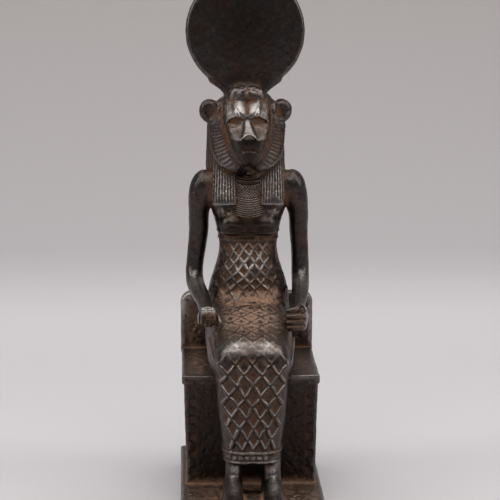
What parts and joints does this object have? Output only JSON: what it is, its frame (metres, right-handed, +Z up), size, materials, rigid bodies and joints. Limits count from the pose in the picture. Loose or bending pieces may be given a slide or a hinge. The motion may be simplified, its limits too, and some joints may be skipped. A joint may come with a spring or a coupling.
{
  "type": "egyptian goddess statue",
  "caption": "Seated lion-headed goddess with a sun disc on her head, fists on her thighs, on a low-backed block throne and plinth, cast in dark patinated bronze as one piece.",
  "frame": {"origin": "middle of the plinth's underside, which the statue stands on", "axes": "+Z up; the figure looks along -Y, and +X is the right-hand side of someone who faces the statue"},
  "size_m": [0.073, 0.142, 0.2735],
  "materials": {
    "bronze": "cast bronze, chemically darkened to a brown black, rubbed bright on the high places, with tan and rust brown deposits in the carving"
  },
  "bodies": {
    "root": {"seated_goddess": "bronze"}
  },
  "joints": []
}
